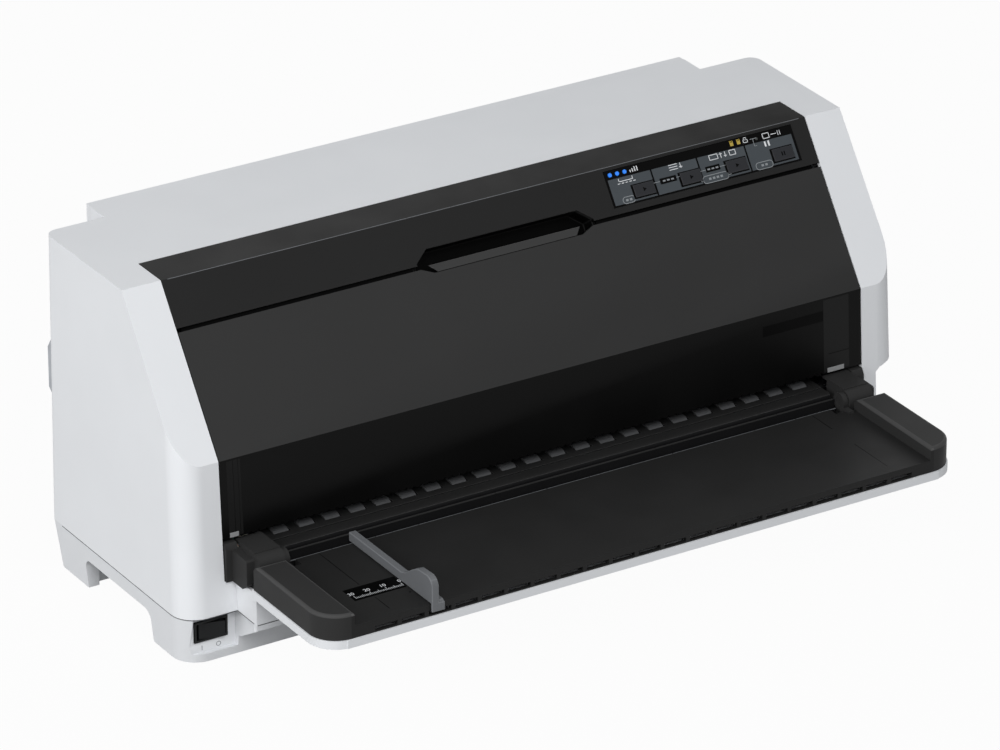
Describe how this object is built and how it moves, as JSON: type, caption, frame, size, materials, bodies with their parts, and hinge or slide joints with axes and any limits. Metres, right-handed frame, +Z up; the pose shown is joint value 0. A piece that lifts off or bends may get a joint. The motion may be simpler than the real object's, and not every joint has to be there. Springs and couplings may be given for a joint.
{
  "type": "dot matrix printer",
  "caption": "Flatbed dot matrix printer with a hinged smoked cover, front paper tray, sliding print carriage, geared feed and rear push tractor.",
  "frame": {"origin": "on the table, at the middle of the overall plan", "axes": "+X to the right across the machine, -Y towards the user, +Z up"},
  "size_m": [0.48, 0.37, 0.208],
  "materials": {
    "case_plastic": "fine matte texture",
    "shell_plastic": "fine matte texture",
    "band_plastic": "fine matte texture",
    "smoked_plastic": "smoked, satin",
    "dark_plastic": "satin",
    "tray_plastic": "fine matte texture",
    "label_film": "printed film",
    "lamp_blue": "lit lamp",
    "board_green": "solder mask",
    "board_brown": "solder mask",
    "steel_sheet": "zinc plated sheet",
    "steel_shaft": "ground shaft",
    "motor_metal": "black painted motor",
    "cartridge_plastic": "satin",
    "ribbon_fabric": "inked ribbon",
    "belt_rubber": "moulded belt",
    "roller_rubber": "matte roller",
    "natural_plastic": "natural nylon",
    "brass": "turned brass",
    "copper_winding": "varnished coil",
    "guide_grey": "satin",
    "scale_film": "printed strip",
    "button_plastic": "satin",
    "rocker_plastic": "satin",
    "tractor_plastic": "satin",
    "foot_rubber": "matte",
    "tray_white": "fine matte texture"
  },
  "bodies": {
    "chassis": {"upper_case": "case_plastic", "lower_case": "shell_plastic", "front_band": "band_plastic", "finger_cup": "band_plastic", "control_label": "label_film", "control_board": "board_green", "status_leds": "lamp_blue", "side_frame_left": "steel_sheet", "side_frame_right": "steel_sheet", "entry_guide": "dark_plastic", "paper_deck": "dark_plastic", "platen": "roller_rubber", "carriage_shaft": "steel_shaft", "cross_beam": "steel_sheet", "carriage_belt": "belt_rubber", "carriage_motor": "motor_metal", "feed_motor": "motor_metal", "shaft_bushes": "natural_plastic", "ribbon_cartridge": "cartridge_plastic", "ink_ribbon": "ribbon_fabric", "tray_bracket_left": "dark_plastic", "tray_bracket_right": "dark_plastic", "main_board": "board_green", "power_board": "board_brown", "transformer": "copper_winding", "mains_inlet": "dark_plastic", "port_panel": "steel_sheet", "switch_body": "dark_plastic", "rubber_feet": "foot_rubber", "case_screws": "steel_shaft", "tractor_frame": "steel_sheet", "tractor_rod": "steel_shaft", "tractor_belt": "belt_rubber"},
    "cover": {"front_cover": "smoked_plastic"},
    "tray": {"paper_tray": "tray_plastic", "tray_shell": "tray_white", "tray_scale": "scale_film"},
    "edge_guide": {"edge_guide": "guide_grey"},
    "tear_off_button": {"tear_off_button": "button_plastic"},
    "line_feed_button": {"line_feed_button": "button_plastic"},
    "load_button": {"load_button": "button_plastic"},
    "pause_button": {"pause_button": "button_plastic"},
    "power_rocker": {"power_rocker": "rocker_plastic"},
    "carriage": {"carriage": "dark_plastic", "print_head": "dark_plastic"},
    "motor_pulley": {"motor_pulley": "brass"},
    "belt_idler": {"belt_idler": "natural_plastic"},
    "front_feed_roller": {"front_feed_roller": "roller_rubber"},
    "rear_feed_roller": {"rear_feed_roller": "roller_rubber"},
    "idler_gear": {"idler_gear": "natural_plastic"},
    "motor_pinion": {"motor_pinion": "brass"},
    "pinch_roller": {"pinch_roller": "roller_rubber"},
    "tractor_shaft": {"tractor_shaft": "steel_shaft"},
    "tractor_left": {"tractor_left": "tractor_plastic"},
    "tractor_right": {"tractor_right": "tractor_plastic"},
    "sprocket_left": {"sprocket_left": "natural_plastic"},
    "sprocket_right": {"sprocket_right": "natural_plastic"},
    "tractor_flap_left": {"tractor_flap_left": "tractor_plastic"},
    "tractor_flap_right": {"tractor_flap_right": "tractor_plastic"},
    "ribbon_knob": {"ribbon_knob": "tractor_plastic"}
  },
  "joints": [
    {"name": "cover_hinge", "type": "hinge", "parent": "chassis", "child": "cover", "pos_m": [0, -0.074, 0.091], "axis": [1, 0, 0], "range_deg": [0, 85]},
    {"name": "tray_tilt", "type": "hinge", "parent": "chassis", "child": "tray", "pos_m": [0, -0.098, 0.066], "axis": [-1, 0, 0], "range_deg": [0, 20]},
    {"name": "guide_slide", "type": "slide", "parent": "tray", "child": "edge_guide", "axis": [1, 0, 0], "range_m": [-0.032, 0]},
    {"name": "tear_off_press", "type": "slide", "parent": "chassis", "child": "tear_off_button", "axis": [0, 0.8138, -0.5811], "range_m": [0, 0.001], "stiffness_N_per_m": 100, "springref_m": -0.0005},
    {"name": "line_feed_press", "type": "slide", "parent": "chassis", "child": "line_feed_button", "axis": [0, 0.8138, -0.5811], "range_m": [0, 0.001], "stiffness_N_per_m": 100, "springref_m": -0.0005},
    {"name": "load_press", "type": "slide", "parent": "chassis", "child": "load_button", "axis": [0, 0.8138, -0.5811], "range_m": [0, 0.001], "stiffness_N_per_m": 100, "springref_m": -0.0005},
    {"name": "pause_press", "type": "slide", "parent": "chassis", "child": "pause_button", "axis": [0, 0.8138, -0.5811], "range_m": [0, 0.001], "stiffness_N_per_m": 100, "springref_m": -0.0005},
    {"name": "rocker_tilt", "type": "hinge", "parent": "chassis", "child": "power_rocker", "pos_m": [-0.21925, -0.069, 0.0195], "axis": [0, 0, 1], "range_deg": [0, 12]},
    {"name": "carriage_slide", "type": "slide", "parent": "chassis", "child": "carriage", "axis": [1, 0, 0], "range_m": [-0.13, 0.13]},
    {"name": "motor_pulley_spin", "type": "hinge", "parent": "chassis", "child": "motor_pulley", "pos_m": [0.18, 0.042, 0.092], "axis": [0, 0, 1], "range_deg": [-940, 940]},
    {"name": "belt_idler_spin", "type": "hinge", "parent": "chassis", "child": "belt_idler", "pos_m": [-0.185, 0.042, 0.092], "axis": [0, 0, 1], "range_deg": [-940, 940]},
    {"name": "front_roller_spin", "type": "hinge", "parent": "chassis", "child": "front_feed_roller", "pos_m": [0, -0.07, 0.0615], "axis": [1, 0, 0], "continuous": true},
    {"name": "rear_roller_spin", "type": "hinge", "parent": "chassis", "child": "rear_feed_roller", "pos_m": [0, 0.012, 0.0615], "axis": [1, 0, 0], "continuous": true},
    {"name": "idler_gear_spin", "type": "hinge", "parent": "chassis", "child": "idler_gear", "pos_m": [0, -0.029, 0.0615], "axis": [1, 0, 0], "continuous": true},
    {"name": "motor_pinion_spin", "type": "hinge", "parent": "chassis", "child": "motor_pinion", "pos_m": [0, 0.00323, 0.03615], "axis": [1, 0, 0], "continuous": true},
    {"name": "pinch_roller_spin", "type": "hinge", "parent": "chassis", "child": "pinch_roller", "pos_m": [0, 0.012, 0.0738], "axis": [1, 0, 0], "continuous": true},
    {"name": "tractor_shaft_spin", "type": "hinge", "parent": "chassis", "child": "tractor_shaft", "pos_m": [0, 0.118, 0.074], "axis": [1, 0, 0], "continuous": true},
    {"name": "tractor_left_slide", "type": "slide", "parent": "chassis", "child": "tractor_left", "axis": [1, 0, 0], "range_m": [-0.035, 0.06]},
    {"name": "tractor_right_slide", "type": "slide", "parent": "chassis", "child": "tractor_right", "axis": [1, 0, 0], "range_m": [-0.06, 0.035]},
    {"name": "sprocket_left_spin", "type": "hinge", "parent": "tractor_left", "child": "sprocket_left", "pos_m": [0, 0.118, 0.074], "axis": [1, 0, 0], "continuous": true},
    {"name": "sprocket_right_spin", "type": "hinge", "parent": "tractor_right", "child": "sprocket_right", "pos_m": [0, 0.118, 0.074], "axis": [1, 0, 0], "continuous": true},
    {"name": "flap_left_hinge", "type": "hinge", "parent": "tractor_left", "child": "tractor_flap_left", "pos_m": [-0.131, 0.134, 0.0887], "axis": [0, -1, 0], "range_deg": [0, 100]},
    {"name": "flap_right_hinge", "type": "hinge", "parent": "tractor_right", "child": "tractor_flap_right", "pos_m": [0.131, 0.134, 0.0887], "axis": [0, 1, 0], "range_deg": [0, 100]},
    {"name": "ribbon_knob_spin", "type": "hinge", "parent": "chassis", "child": "ribbon_knob", "pos_m": [-0.12, 0.05, 0.14], "axis": [0, 0, 1], "continuous": true}
  ],
  "couplings": [
    {"joint": "motor_pulley_spin", "follows": "carriage_slide", "rad_per_m": 125},
    {"joint": "belt_idler_spin", "follows": "carriage_slide", "rad_per_m": 125},
    {"joint": "rear_roller_spin", "follows": "front_roller_spin", "ratio": 1},
    {"joint": "idler_gear_spin", "follows": "front_roller_spin", "ratio": -0.24242},
    {"joint": "motor_pinion_spin", "follows": "front_roller_spin", "ratio": 1},
    {"joint": "pinch_roller_spin", "follows": "front_roller_spin", "ratio": -1.6667},
    {"joint": "tractor_shaft_spin", "follows": "front_roller_spin", "ratio": 1},
    {"joint": "sprocket_left_spin", "follows": "front_roller_spin", "ratio": 1},
    {"joint": "sprocket_right_spin", "follows": "front_roller_spin", "ratio": 1}
  ]
}
